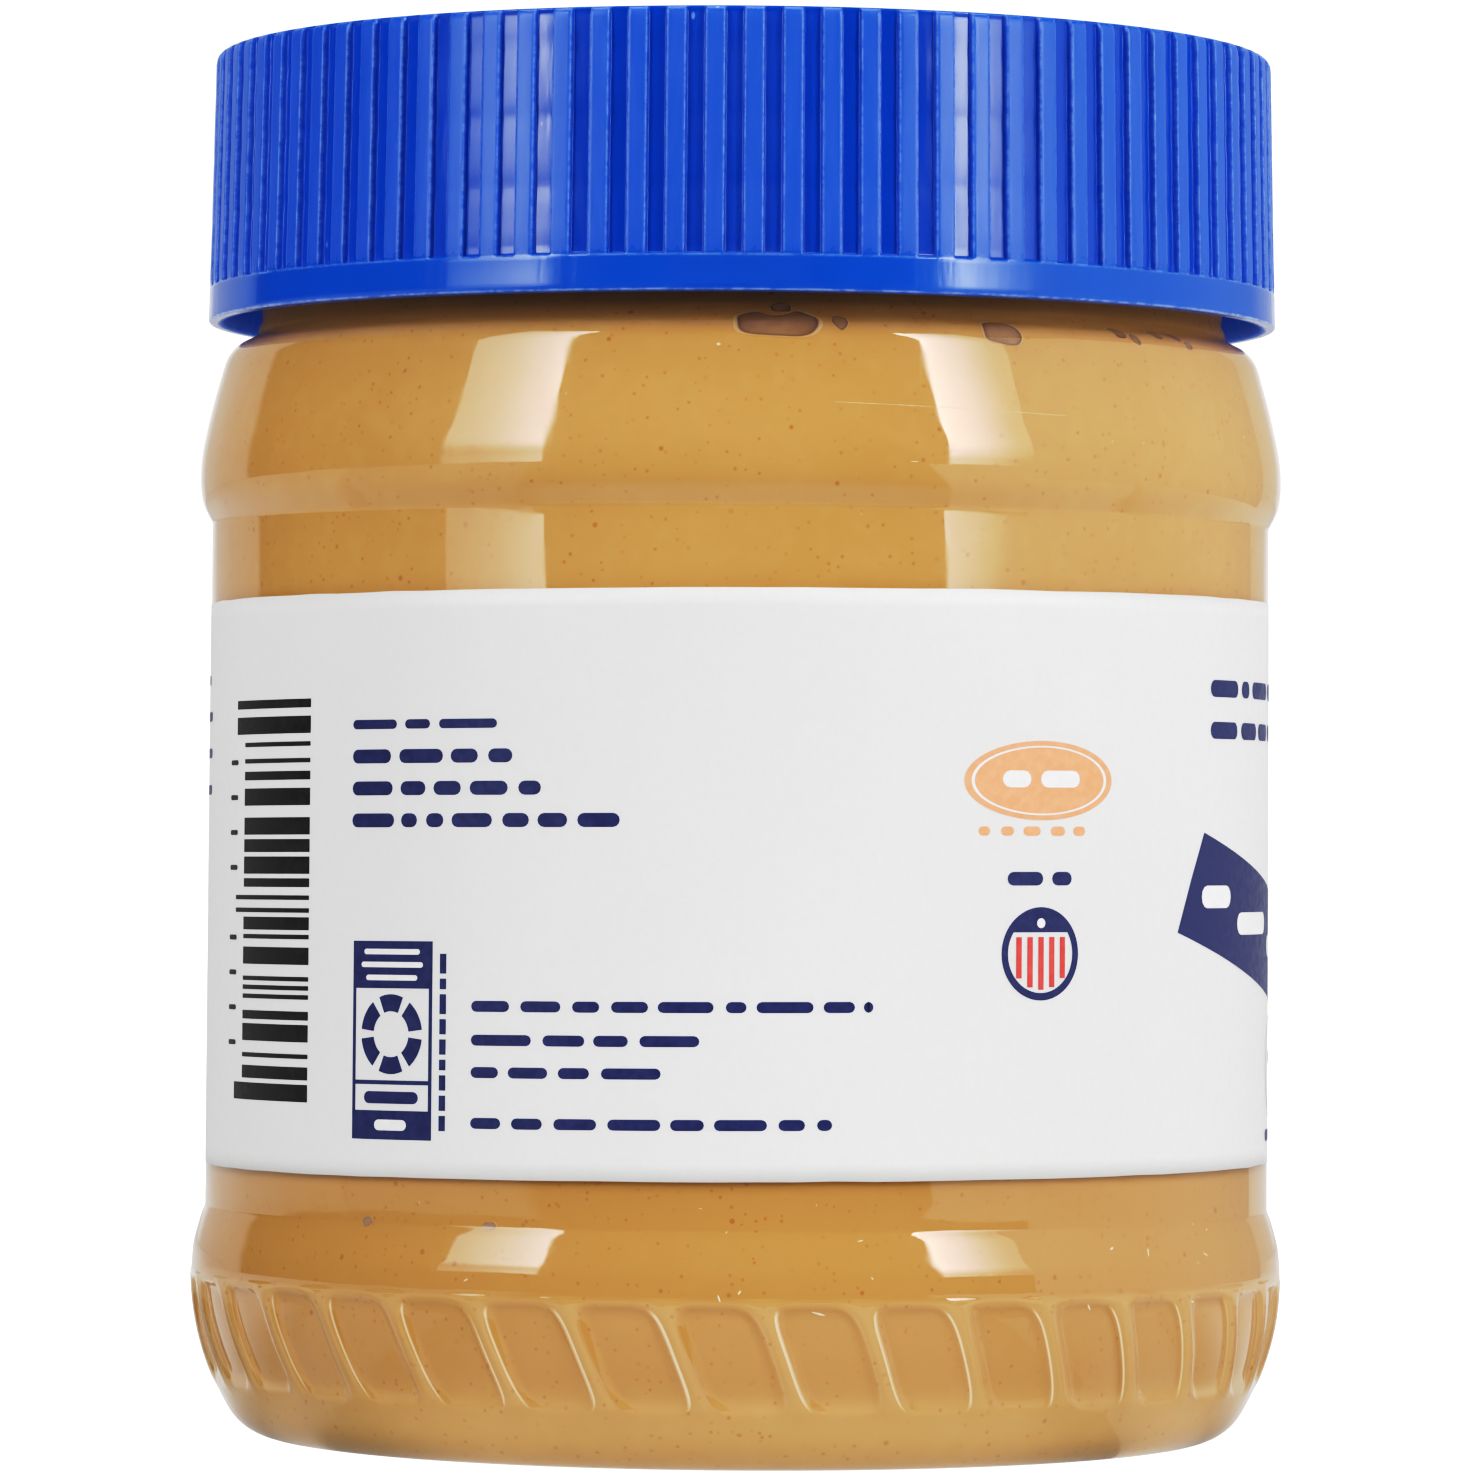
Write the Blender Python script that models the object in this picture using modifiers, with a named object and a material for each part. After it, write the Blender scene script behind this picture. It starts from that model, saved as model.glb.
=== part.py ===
"""A shut, clear plastic jar of peanut butter: jar, contents, wrap label and ribbed screw cap.

The jar stands on the XY plane with its axis on +Z. Its shown side faces -Y. Sizes below
are in millimetres, and the mesh data is in metres.
"""

import math

import bmesh
import bpy

MM = 0.001
MERGE = 0.00001

# Driving sizes of the jar's outside, bottom to top
FOOT_INNER_RADIUS = 29.6
PUSH_UP = 2.4
FOOT_FLANK_WIDTH = 2.0
FOOT_FLANK_HEIGHT = 0.7
CORNER_RADIUS = 3.87
SIDE_ARC_RADIUS = 19.0
CREST_RADIUS = 37.54
CREST_Z = 11.5
HEEL_TANGENT = 30.3
CREST_ARC_RADIUS = 7.5
LEDGE_SLOPE = 16.2
PANEL_BOTTOM_RADIUS = 36.65
PANEL_BOTTOM_Z = 15.6
PANEL_TOP_RADIUS = 36.49
PANEL_TOP_Z = 62.85
BEAD_RADIUS = 37.34
BEAD_Z = 65.5
BEAD_LOWER_ARC = 4.6
BEAD_UPPER_ARC = 14.3
SHOULDER_SLOPE = 14.6
SHOULDER_CONE_TOP_Z = 72.75
SHOULDER_ARC_RADIUS = 3.7
NECK_BASE_RADIUS = 34.2
NECK_RADIUS = 33.7
NECK_STEP_Z = 77.6
NECK_FILLET = 0.4
RIM_Z = 93.1
RIM_ROUND = 0.3

# Walls, clearances and the contents
BODY_WALL = 0.9
NECK_BORE_RADIUS = 32.4
BASE_WALL = 0.9
TOUCH_GAP = 0.3
FILL_Z = 87.0
FILL_DOME = 0.6

# Wrap label, let into a shallow recess of the panel
LABEL_BOTTOM_Z = 18.95
LABEL_TOP_Z = 57.3
LABEL_THICKNESS = 0.12
LABEL_GAP = 0.25
RECESS_MARGIN = 0.25

# Slanted pockets round the heel, which leave narrow lands between them
POCKET_COUNT = 36
POCKET_PHASE = -1.1
POCKET_Z = 7.75
POCKET_HEIGHT = 7.9
POCKET_WIDTH = 6.5
POCKET_DEPTH = 0.45
POCKET_SLANT = 21.0
POCKET_CUTTER_DEPTH = 1.3
POCKET_SQUARENESS = 3.4
POCKET_SEGMENTS = 12
POCKET_RINGS = 6

# Screw cap
CAP_BOTTOM_Z = 76.45
CAP_TOP_Z = 95.0
BAND_TOP_Z = 78.9
BAND_BOTTOM_RADIUS = 36.84
BAND_EDGE = 0.2
CREST_BOTTOM_RADIUS = 36.76
CREST_TOP_RADIUS = 36.45
CAP_EDGE_RADIUS = 0.7
CAP_TOP_THICKNESS = 1.6
SKIRT_BORE_RADIUS = 35.25
SKIRT_LIP_RADIUS = 35.7
LIP_HEIGHT = 1.2
GROOVE_COUNT = 90
RIB_PHASE = 1.1
GROOVE_WIDTH = 1.25
GROOVE_DEPTH = 0.45

# How far a cutter runs past the piece it cuts
OVERSHOOT = 2.0

# Facets round each turned piece
JAR_STEPS = 72
CAVITY_STEPS = 36
CAP_STEPS = 90
CAP_BORE_STEPS = 45


def clear_scene():
    for obj in list(bpy.data.objects):
        bpy.data.objects.remove(obj, do_unlink=True)


def new_collection(name):
    made = bpy.data.collections.new(name)
    bpy.context.scene.collection.children.link(made)
    return made


def new_material(name, colour, roughness, alpha=1.0):
    made = bpy.data.materials.new(name)
    made.use_nodes = True
    shader = made.node_tree.nodes["Principled BSDF"]
    shader.inputs["Base Color"].default_value = (*colour, 1.0)
    shader.inputs["Roughness"].default_value = roughness
    shader.inputs["Metallic"].default_value = 0.0
    shader.inputs["Alpha"].default_value = alpha
    return made


def arc(centre_r, centre_z, radius, start, end, steps):
    """Points of a profile arc, from start to end in degrees above the outward direction."""
    points = []
    for i in range(steps + 1):
        angle = math.radians(start + (end - start) * i / steps)
        points.append(
            (centre_r + radius * math.cos(angle), centre_z + radius * math.sin(angle))
        )
    return points


def front_angle(degrees):
    """Angle about +Z from +X of a direction given from the shown side, growing to the right."""
    return math.radians(degrees - 90.0)


def turned(name, profile, steps, collection, closed=False, turn=0.0):
    """A profile of (radius, height) points in millimetres, turned round +Z by a Screw modifier."""
    mesh = bpy.data.meshes.new(name)
    points = [(r * MM, 0.0, z * MM) for r, z in profile]
    edges = [(i, i + 1) for i in range(len(points) - 1)]
    if closed:
        edges.append((len(points) - 1, 0))
    mesh.from_pydata(points, edges, [])
    obj = bpy.data.objects.new(name, mesh)
    obj.rotation_euler.z = turn
    collection.objects.link(obj)
    screw = obj.modifiers.new("Turn", "SCREW")
    screw.axis = "Z"
    screw.steps = steps
    screw.render_steps = steps
    screw.use_merge_vertices = True
    screw.merge_threshold = MERGE
    screw.use_smooth_shade = True
    return obj


def subtract(obj, operand):
    """Cuts an object, or everything in a collection, out of obj."""
    modifier = obj.modifiers.new("Cut", "BOOLEAN")
    modifier.operation = "DIFFERENCE"
    modifier.solver = "EXACT"
    if isinstance(operand, bpy.types.Collection):
        modifier.operand_type = "COLLECTION"
        modifier.collection = operand
    else:
        modifier.object = operand


def make_helper(obj):
    obj.hide_render = True
    obj.display_type = "WIRE"


def heel_tangent_point():
    """Where the small corner arc of the heel meets the long side arc."""
    angle = math.radians(HEEL_TANGENT)
    centre_r = CREST_RADIUS - SIDE_ARC_RADIUS
    return (
        centre_r + SIDE_ARC_RADIUS * math.cos(angle),
        CREST_Z - SIDE_ARC_RADIUS * math.sin(angle),
    )


def panel_radius(z):
    """Outer radius of the straight panel, which narrows a little towards its top."""
    share = (z - PANEL_BOTTOM_Z) / (PANEL_TOP_Z - PANEL_BOTTOM_Z)
    return PANEL_BOTTOM_RADIUS + (PANEL_TOP_RADIUS - PANEL_BOTTOM_RADIUS) * share


def heel_profile(steps_corner, steps_side, steps_crest):
    """Outside of the heel, from the foot's outer edge up to the panel."""
    tangent_r, _ = heel_tangent_point()
    corner_r = tangent_r - CORNER_RADIUS * math.cos(math.radians(HEEL_TANGENT))
    crest_centre = CREST_RADIUS - CREST_ARC_RADIUS
    points = arc(
        corner_r, CORNER_RADIUS, CORNER_RADIUS, -90.0, -HEEL_TANGENT, steps_corner
    )
    points += arc(
        CREST_RADIUS - SIDE_ARC_RADIUS,
        CREST_Z,
        SIDE_ARC_RADIUS,
        -HEEL_TANGENT,
        0.0,
        steps_side,
    )[1:]
    points += arc(
        crest_centre, CREST_Z, CREST_ARC_RADIUS, 0.0, LEDGE_SLOPE, steps_crest
    )[1:]
    points.append((PANEL_BOTTOM_RADIUS, PANEL_BOTTOM_Z))
    return points


def shoulder_profile(steps_lower, steps_upper, steps_shoulder):
    """Outside of the bead and the shoulder, from the panel up to the neck."""
    lower_centre = BEAD_RADIUS - BEAD_LOWER_ARC
    lower_start = -math.degrees(math.asin((BEAD_Z - PANEL_TOP_Z) / BEAD_LOWER_ARC))
    points = arc(lower_centre, BEAD_Z, BEAD_LOWER_ARC, lower_start, 0.0, steps_lower)
    upper = arc(
        BEAD_RADIUS - BEAD_UPPER_ARC,
        BEAD_Z,
        BEAD_UPPER_ARC,
        0.0,
        SHOULDER_SLOPE,
        steps_upper,
    )
    points += upper[1:]
    slope = math.radians(SHOULDER_SLOPE)
    cone_r = upper[-1][0] - (SHOULDER_CONE_TOP_Z - upper[-1][1]) * math.tan(slope)
    neck_angle = math.degrees(
        math.acos(
            (NECK_BASE_RADIUS - cone_r + SHOULDER_ARC_RADIUS * math.cos(slope))
            / SHOULDER_ARC_RADIUS
        )
    )
    points += arc(
        cone_r - SHOULDER_ARC_RADIUS * math.cos(slope),
        SHOULDER_CONE_TOP_Z - SHOULDER_ARC_RADIUS * math.sin(slope),
        SHOULDER_ARC_RADIUS,
        SHOULDER_SLOPE,
        neck_angle,
        steps_shoulder,
    )
    return points


def inside_of(points, wall):
    """The same profile moved inwards by a wall, as a moulded jar's inside follows its outside."""
    moved = []
    for i, (r, z) in enumerate(points):
        before = points[max(i - 1, 0)]
        after = points[min(i + 1, len(points) - 1)]
        along_r, along_z = after[0] - before[0], after[1] - before[1]
        length = math.hypot(along_r, along_z)
        moved.append((r - wall * along_z / length, z + wall * along_r / length))
    return moved


def cavity_profile(inset):
    """The jar's inside from the neck's bore down to its base centre, moved in by inset."""
    wall = BODY_WALL + inset
    bore = NECK_BORE_RADIUS - inset
    floor_z = PUSH_UP + BASE_WALL + inset
    shoulder = inside_of(shoulder_profile(2, 2, 3), wall)
    heel = inside_of(heel_profile(3, 3, 1), wall)
    points = [(bore, NECK_STEP_Z)]
    points += [p for p in reversed(shoulder) if p[0] > bore]
    points += [p for p in reversed(heel) if p[0] > FOOT_INNER_RADIUS]
    points += [(0.0, floor_z)]
    return points


def jar_profile():
    """Half section of the jar's outside, from the rim down to the foot, closed at the axis."""
    rim = [
        (0.0, RIM_Z),
        (NECK_RADIUS - RIM_ROUND, RIM_Z),
        (NECK_RADIUS, RIM_Z - RIM_ROUND),
    ]
    neck = [(NECK_RADIUS, NECK_STEP_Z), (NECK_BASE_RADIUS, NECK_STEP_Z - NECK_FILLET)]
    shoulder = list(reversed(shoulder_profile(3, 2, 3)))
    depth = LABEL_THICKNESS + LABEL_GAP
    recess_top = LABEL_TOP_Z + RECESS_MARGIN
    recess_bottom = LABEL_BOTTOM_Z - RECESS_MARGIN
    recess = [
        (panel_radius(recess_top), recess_top),
        (panel_radius(recess_top) - depth, recess_top),
        (panel_radius(recess_bottom) - depth, recess_bottom),
        (panel_radius(recess_bottom), recess_bottom),
    ]
    heel = list(reversed(heel_profile(4, 4, 2)))
    foot = [
        (FOOT_INNER_RADIUS, 0.0),
        (FOOT_INNER_RADIUS - FOOT_FLANK_WIDTH, FOOT_FLANK_HEIGHT),
        (0.0, PUSH_UP),
    ]
    return rim + neck + shoulder + recess + heel + foot


def pocket_mesh():
    """A squared-off lens. Its X is the depth, Y the width round the jar and Z the height."""
    work = bmesh.new()
    bmesh.ops.create_uvsphere(
        work, u_segments=POCKET_SEGMENTS, v_segments=POCKET_RINGS, radius=1.0
    )
    power = 2.0 / POCKET_SQUARENESS
    for vert in work.verts:
        side, up, out = vert.co
        edge = math.hypot(side, up)
        if edge > 0:
            square = (abs(side) ** POCKET_SQUARENESS + abs(up) ** POCKET_SQUARENESS) ** (
                1.0 / POCKET_SQUARENESS
            )
            side, up = side * edge / square, up * edge / square
        out = math.copysign(abs(out) ** power, out)
        vert.co = (
            out * POCKET_CUTTER_DEPTH * MM,
            side * POCKET_WIDTH / 2 * MM,
            up * POCKET_HEIGHT / 2 * MM,
        )
    mesh = bpy.data.meshes.new("pocket")
    work.to_mesh(mesh)
    work.free()
    return mesh


def make_pockets(collection):
    mesh = pocket_mesh()
    centre_r = CREST_RADIUS - SIDE_ARC_RADIUS
    lean = math.asin((CREST_Z - POCKET_Z) / SIDE_ARC_RADIUS)
    wall_r = centre_r + SIDE_ARC_RADIUS * math.cos(lean)
    radius = wall_r - POCKET_DEPTH + POCKET_CUTTER_DEPTH
    for i in range(POCKET_COUNT):
        angle = front_angle(POCKET_PHASE + 360.0 * i / POCKET_COUNT)
        cutter = bpy.data.objects.new(f"pocket_{i:02d}", mesh)
        cutter.location = (
            radius * math.cos(angle) * MM,
            radius * math.sin(angle) * MM,
            POCKET_Z * MM,
        )
        cutter.rotation_euler = (math.radians(POCKET_SLANT), lean, angle)
        collection.objects.link(cutter)
        make_helper(cutter)


def make_jar(parts, cutters):
    jar = turned("jar", jar_profile(), JAR_STEPS, parts)
    make_pockets(cutters)
    mouth_z = RIM_Z + OVERSHOOT
    cavity = [(0.0, mouth_z), (NECK_BORE_RADIUS, mouth_z)] + cavity_profile(0.0)
    make_helper(turned("cavity", cavity, CAVITY_STEPS, cutters))
    subtract(jar, cutters)
    jar.data.materials.append(new_material("clear_plastic", (0.93, 0.93, 0.91), 0.06, 0.3))
    return jar


def make_contents(parts):
    """The peanut butter: the jar's inside less the touch gap, closed by a low dome."""
    fill_r = NECK_BORE_RADIUS - TOUCH_GAP
    top = [(0.0, FILL_Z), (fill_r, FILL_Z - FILL_DOME)]
    contents = turned("peanut_butter", top + cavity_profile(TOUCH_GAP), CAVITY_STEPS, parts)
    contents.data.materials.append(new_material("peanut_butter", (0.57, 0.31, 0.09), 0.45))
    return contents


def make_label(parts):
    top_r = panel_radius(LABEL_TOP_Z)
    bottom_r = panel_radius(LABEL_BOTTOM_Z)
    profile = [
        (top_r, LABEL_TOP_Z),
        (bottom_r, LABEL_BOTTOM_Z),
        (bottom_r - LABEL_THICKNESS, LABEL_BOTTOM_Z),
        (top_r - LABEL_THICKNESS, LABEL_TOP_Z),
    ]
    label = turned("label", profile, JAR_STEPS, parts, closed=True)
    label.data.materials.append(new_material("label_paper", (0.80, 0.81, 0.80), 0.4))
    return label


def cap_profile():
    """Half section of the cap's outside, from the top centre down to the bottom centre."""
    edge_r = CREST_TOP_RADIUS - CAP_EDGE_RADIUS
    points = [(0.0, CAP_TOP_Z)]
    points += arc(edge_r, CAP_TOP_Z - CAP_EDGE_RADIUS, CAP_EDGE_RADIUS, 90.0, 0.0, 2)
    points += [
        (CREST_BOTTOM_RADIUS, BAND_TOP_Z),
        (BAND_BOTTOM_RADIUS, CAP_BOTTOM_Z + BAND_EDGE),
        (BAND_BOTTOM_RADIUS - BAND_EDGE, CAP_BOTTOM_Z),
        (0.0, CAP_BOTTOM_Z),
    ]
    return points


def bore_profile():
    """Half section of the cap's inside, with its mouth run past the cap's bottom."""
    ceiling_z = CAP_TOP_Z - CAP_TOP_THICKNESS
    return [
        (0.0, ceiling_z),
        (SKIRT_BORE_RADIUS, ceiling_z),
        (SKIRT_BORE_RADIUS, CAP_BOTTOM_Z + LIP_HEIGHT),
        (SKIRT_LIP_RADIUS, CAP_BOTTOM_Z),
        (SKIRT_LIP_RADIUS, CAP_BOTTOM_Z - OVERSHOOT),
        (0.0, CAP_BOTTOM_Z - OVERSHOOT),
    ]


def make_grooves(collection):
    """The upright grooves between the cap's ribs, leaning with the draft of the skirt."""
    height = CAP_TOP_Z - BAND_TOP_Z + OVERSHOOT
    draft = math.atan((CREST_BOTTOM_RADIUS - CREST_TOP_RADIUS) / (CAP_TOP_Z - BAND_TOP_Z))
    work = bmesh.new()
    bmesh.ops.create_cube(work, size=1.0)
    for vert in work.verts:
        vert.co = (
            (vert.co.x + 0.5) * OVERSHOOT * MM,
            vert.co.y * GROOVE_WIDTH * MM,
            (vert.co.z + 0.5) * height * MM,
        )
    mesh = bpy.data.meshes.new("groove")
    work.to_mesh(mesh)
    work.free()
    radius = CREST_BOTTOM_RADIUS - GROOVE_DEPTH
    step = 360.0 / GROOVE_COUNT
    for i in range(GROOVE_COUNT):
        angle = front_angle(RIB_PHASE + step * (i + 0.5))
        cutter = bpy.data.objects.new(f"groove_{i:02d}", mesh)
        cutter.location = (
            radius * math.cos(angle) * MM,
            radius * math.sin(angle) * MM,
            BAND_TOP_Z * MM,
        )
        cutter.rotation_euler = (0.0, -draft, angle)
        collection.objects.link(cutter)
        make_helper(cutter)


def make_cap(parts, cutters):
    cap = turned("cap", cap_profile(), CAP_STEPS, parts, turn=front_angle(RIB_PHASE))
    make_grooves(cutters)
    make_helper(turned("cap_bore", bore_profile(), CAP_BORE_STEPS, cutters))
    subtract(cap, cutters)
    cap.data.materials.append(new_material("cap_blue", (0.01, 0.05, 0.58), 0.3))
    return cap


def main():
    clear_scene()
    parts = new_collection("peanut_butter_jar")
    make_jar(parts, new_collection("jar_cutters"))
    make_contents(parts)
    make_label(parts)
    make_cap(parts, new_collection("cap_cutters"))


main()
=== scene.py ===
import math
import random

import bpy
import numpy as np
from mathutils import Matrix


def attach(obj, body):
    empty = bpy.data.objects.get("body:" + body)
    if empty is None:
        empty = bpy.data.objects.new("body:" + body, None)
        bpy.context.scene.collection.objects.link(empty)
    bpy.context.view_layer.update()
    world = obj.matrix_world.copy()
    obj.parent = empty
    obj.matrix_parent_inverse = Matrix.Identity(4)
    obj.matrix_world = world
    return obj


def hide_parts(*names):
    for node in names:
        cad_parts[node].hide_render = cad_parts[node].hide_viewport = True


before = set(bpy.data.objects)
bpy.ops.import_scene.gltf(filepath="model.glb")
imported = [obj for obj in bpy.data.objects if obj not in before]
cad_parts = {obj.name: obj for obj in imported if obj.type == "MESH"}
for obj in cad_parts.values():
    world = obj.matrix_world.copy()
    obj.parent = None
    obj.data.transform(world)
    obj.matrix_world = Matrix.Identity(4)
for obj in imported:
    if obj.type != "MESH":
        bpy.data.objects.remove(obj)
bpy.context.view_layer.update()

MM = 0.001
D2R = math.pi / 180.0


# Profile of the jar


def arc(centre_r, centre_z, radius, start, end, steps):
    """Points of an arc in (radius, height), from the start to the end angle in degrees."""
    t = np.radians(np.linspace(start, end, steps + 1))
    return [(centre_r + radius * math.cos(x), centre_z + radius * math.sin(x)) for x in t]


# Heel: crest radius and height, arc of its side, slope in degrees at the foot, corner radius
CREST_R, CREST_Z, SIDE_ARC, HEEL_T, CORNER = 37.54, 11.5, 19.0, 30.3, 3.87
# Straight panel: radius and height at its foot and at its top
PANEL_R0, PANEL_Z0, PANEL_R1, PANEL_Z1 = 36.62, 15.95, 36.47, 62.52
FOOT_MIDDLE = 2.4
RECESS_LOW, RECESS_HIGH, RECESS_DEPTH = 19.4, 56.8, 0.09


def panel_radius(z):
    share = (z - PANEL_Z0) / (PANEL_Z1 - PANEL_Z0)
    return PANEL_R0 + (PANEL_R1 - PANEL_R0) * share


def bend(pts, radius, start, end, steps):
    """Goes on with an arc whose outward normal rises from start to end. A hollow has radius < 0."""
    r, z = pts[-1]
    centre_r = r - radius * math.cos(start * D2R)
    centre_z = z - radius * math.sin(start * D2R)
    pts += arc(centre_r, centre_z, radius, start, end, steps)[1:]


def climb(pts, tilt, z_end):
    """Goes on straight up to z_end, with the outward normal at the given tilt."""
    r, z = pts[-1]
    pts.append((r - (z_end - z) * math.tan(tilt * D2R), z_end))


def heel_radius(z):
    return CREST_R - SIDE_ARC + np.sqrt(SIDE_ARC**2 - (CREST_Z - z) ** 2)


def outer_profile():
    """(radius, height) of the jar's outside in mm, from the foot's centre to the rim."""
    tangent_r = CREST_R - SIDE_ARC + SIDE_ARC * math.cos(HEEL_T * D2R)
    tangent_z = CREST_Z - SIDE_ARC * math.sin(HEEL_T * D2R)
    corner_r = tangent_r - CORNER * math.cos(HEEL_T * D2R)
    pts = [(0.0, FOOT_MIDDLE), (12.0, 2.1), (20.0, 1.5), (26.0, 0.9), (28.6, 0.35), (29.7, 0.03)]
    pts += [(30.2, 0.0)]
    pts += arc(corner_r, CORNER, CORNER, -90.0, -HEEL_T, 9)
    rows = np.concatenate([
        np.linspace(tangent_z, 10.6, 28)[1:],
        np.linspace(10.6, 11.2, 6)[1:],
        np.linspace(11.2, CREST_Z, 6)[1:],
    ])
    pts += [(float(heel_radius(z)), float(z)) for z in rows]
    # The bulge over the flutes, with a quick turn half way up and a small step to the panel
    bend(pts, 6.2, 0.0, 4.6, 7)
    climb(pts, 4.6, 12.75)
    bend(pts, 5.3, 4.6, 14.5, 6)
    bend(pts, 28.8, 14.5, 17.5, 4)
    bend(pts, 5.0, 17.5, 25.0, 4)
    bend(pts, -0.30, 25.0, 0.0, 3)
    for z in (17.5, 19.2, 19.3, 19.35, 19.6, 30.0, 45.0, 56.6, 56.85, 56.9, 57.0, 58.5, 61.0):
        recess = RECESS_DEPTH if RECESS_LOW < z < RECESS_HIGH else 0.0
        pts.append((panel_radius(z) - recess, z))
    # The bead and the shoulder
    pts.append((PANEL_R1, PANEL_Z1))
    bend(pts, -0.6, 0.0, -27.0, 4)
    climb(pts, -27.0, 63.47)
    bend(pts, 3.4, -27.0, -12.6, 4)
    bend(pts, 5.1, -12.6, -4.7, 3)
    bend(pts, 9.6, -4.7, 0.0, 3)
    bend(pts, 12.4, 0.0, 10.8, 7)
    bend(pts, 45.0, 10.8, 15.0, 5)
    bend(pts, 110.0, 15.0, 16.2, 3)
    bend(pts, 2.6, 16.2, 50.0, 9)
    bend(pts, 1.6, 50.0, 64.0, 3)
    climb(pts, 64.0, 75.32)
    bend(pts, -0.9, 64.0, 0.0, 6)
    pts += [(33.15, 76.6), (33.2, 77.3), (33.3, 78.2), (33.4, 79.2), (33.4, 85.0), (33.4, 92.7)]
    return pts


def profile_normals(pts):
    """Outward normals of a line of (radius, height) points."""
    p = np.array(pts)
    d = np.gradient(p, axis=0)
    n = np.stack([d[:, 1], -d[:, 0]], axis=1)
    return n / np.linalg.norm(n, axis=1, keepdims=True)


def smoothstep(x, a, b):
    t = np.clip((x - a) / (b - a), 0.0, 1.0)
    return t * t * (3.0 - 2.0 * t)


# Flutes of the heel

FLUTES = 36
PITCH = 360.0 / FLUTES
# Angle and height of the middle of one land, and the lean of the flutes
LAND_AT = 4.7
FLUTE_Z = 7.45
SLANT = math.tan(20.5 * D2R)
MM_A_DEGREE = 37.0 * D2R
# Pressed pocket: half its width, half its height and how square its outline is
POCKET_HALF_WIDTH, POCKET_HALF_HEIGHT, POCKET_POWER = 2.93, 3.76, 4.4
# Depth of a pocket, radius of its edge and radius of its foot, in the wall and in the contents
WALL_POCKET = (0.46, 0.38, 0.9)
CONTENTS_POCKET = (0.20, 0.6, 1.2)
# The flutes end below this height and lie outside this radius
FLUTED_TOP, FLUTED_MIN_R = 12.6, 31.0
# Points to a flute where a row is plain
COARSE = 8


def flute_shift(z):
    """Degrees by which the flutes have moved round the jar at height z."""
    return -(np.clip(z, 2.6, 12.4) - FLUTE_Z) * SLANT / MM_A_DEGREE


def edge_drop(dist, depth, turn_r, foot_r, tilt=38.0):
    """How far the wall has gone in at dist past a pocket's edge: a round edge, a slope, a round foot."""
    sin, cos, tan = math.sin(tilt * D2R), math.cos(tilt * D2R), math.tan(tilt * D2R)
    h1, h3 = turn_r * (1.0 - cos), foot_r * (1.0 - cos)
    d1, d3 = turn_r * sin, foot_r * sin
    d2 = max(0.0, depth - h1 - h3) / tan
    t = np.clip(dist, 0.0, d1 + d2 + d3)
    first = turn_r - np.sqrt(turn_r**2 - np.minimum(t, d1) ** 2)
    middle = np.clip(t - d1, 0.0, d2) * tan
    rest = d1 + d2 + d3 - np.maximum(t, d1 + d2)
    last = h3 - (foot_r - np.sqrt(foot_r**2 - rest**2))
    return first + middle + last


def flute_place(a, z):
    """Distance past the nearest pocket's edge, and place in the pocket, in mm."""
    u = (a - LAND_AT - flute_shift(z)) / PITCH
    x = (u - np.floor(u) - 0.5) * PITCH * MM_A_DEGREE
    y = z - FLUTE_Z
    hx, hy, power = POCKET_HALF_WIDTH, POCKET_HALF_HEIGHT, POCKET_POWER
    gx = np.abs(x) / hx + 1e-6
    gy = np.abs(y) / hy + 1e-6
    e = (gx**power + gy**power) ** (1.0 / power)
    dx = e ** (1.0 - power) * gx ** (power - 1.0) / hx
    dy = e ** (1.0 - power) * gy ** (power - 1.0) / hy
    return (1.0 - e) / np.sqrt(dx * dx + dy * dy + 1e-9), x, y


def flute_relief(a, z, depth, turn_r, foot_r):
    """Relief in mm at angle a and height z: below zero in a pocket, a little above zero on a land."""
    dist, x, y = flute_place(a, z)
    fade = smoothstep(y, -4.6, -2.2)
    pocket = edge_drop(dist, depth, turn_r, foot_r) * fade
    middle = np.clip(1.0 - (x / POCKET_HALF_WIDTH) ** 2, 0.0, 1.0)
    crown = 0.08 * middle * smoothstep(dist, 0.2, 1.4)
    in_zone = smoothstep(y, -4.6, -3.0) * (1.0 - smoothstep(y, 3.86, 4.04))
    horn = smoothstep(np.abs(x), 2.05, 2.65)
    land = 0.08 * in_zone * horn * (1.0 - smoothstep(dist, -0.25, 0.0))
    return -pocket + crown * fade + land


def flute_angles(z):
    """Angles of one row of points: 24 to a flute, crowded at the pockets' edges."""
    half = PITCH * MM_A_DEGREE / 2.0
    y = abs(z - FLUTE_Z) / POCKET_HALF_HEIGHT
    wide = POCKET_HALF_WIDTH * max(0.0, 1.0 - y**POCKET_POWER) ** (1.0 / POCKET_POWER)
    edge = min(max(half - wide, 0.15), 1.85)
    steps = [0.06, 0.13, 0.20, 0.28, 0.40, 0.60, 0.80, 1.00, 1.18]
    side = np.array([0.55 * (edge - 0.05), edge - 0.05] + [edge + v for v in steps])
    even = np.arange(1, 12) * half / 12.0
    evened = smoothstep(z, 11.3, 12.3) + 1.0 - smoothstep(z, 2.6, 3.6)
    side = side * (1.0 - evened) + even * evened
    one = np.concatenate([[0.0], side, [half], 2.0 * half - side[::-1]]) / MM_A_DEGREE
    turn = flute_shift(z) + LAND_AT
    return np.concatenate([k * PITCH + one for k in range(FLUTES)]) + turn


def even_angles(z):
    """Angles of one row of points: 8 to a flute, all the same apart."""
    count = FLUTES * COARSE
    return np.arange(count) * 360.0 / count + flute_shift(z) + LAND_AT


# Mesh helpers


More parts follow.
